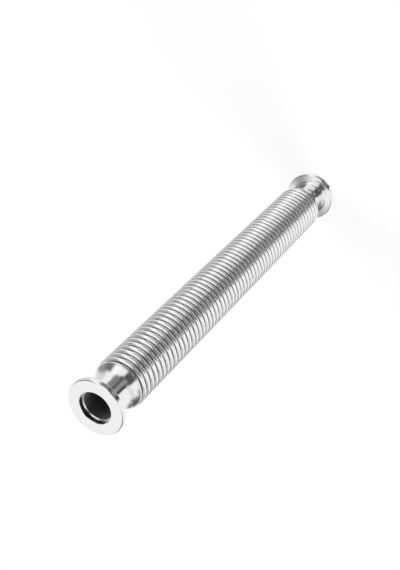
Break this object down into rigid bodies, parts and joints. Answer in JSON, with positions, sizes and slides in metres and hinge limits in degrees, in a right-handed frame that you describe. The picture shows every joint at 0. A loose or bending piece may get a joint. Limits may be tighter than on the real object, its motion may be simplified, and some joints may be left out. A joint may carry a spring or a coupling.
{
  "type": "vacuum bellows hose",
  "caption": "Flexible stainless steel vacuum hose: an annular formed bellows welded between two small clamp flanges.",
  "frame": {"origin": "centre of the lower flange's sealing face", "axes": "+Z along the hose, from the lower flange to the upper flange"},
  "size_m": [0.03, 0.03, 0.25],
  "materials": {
    "turned_steel": "turned and polished stainless steel",
    "formed_steel": "bright formed stainless steel sheet"
  },
  "bodies": {
    "root": {"lower_flange": "turned_steel", "upper_flange": "turned_steel", "lower_weld_ring": "turned_steel", "upper_weld_ring": "turned_steel", "bellows": "formed_steel"}
  },
  "joints": []
}
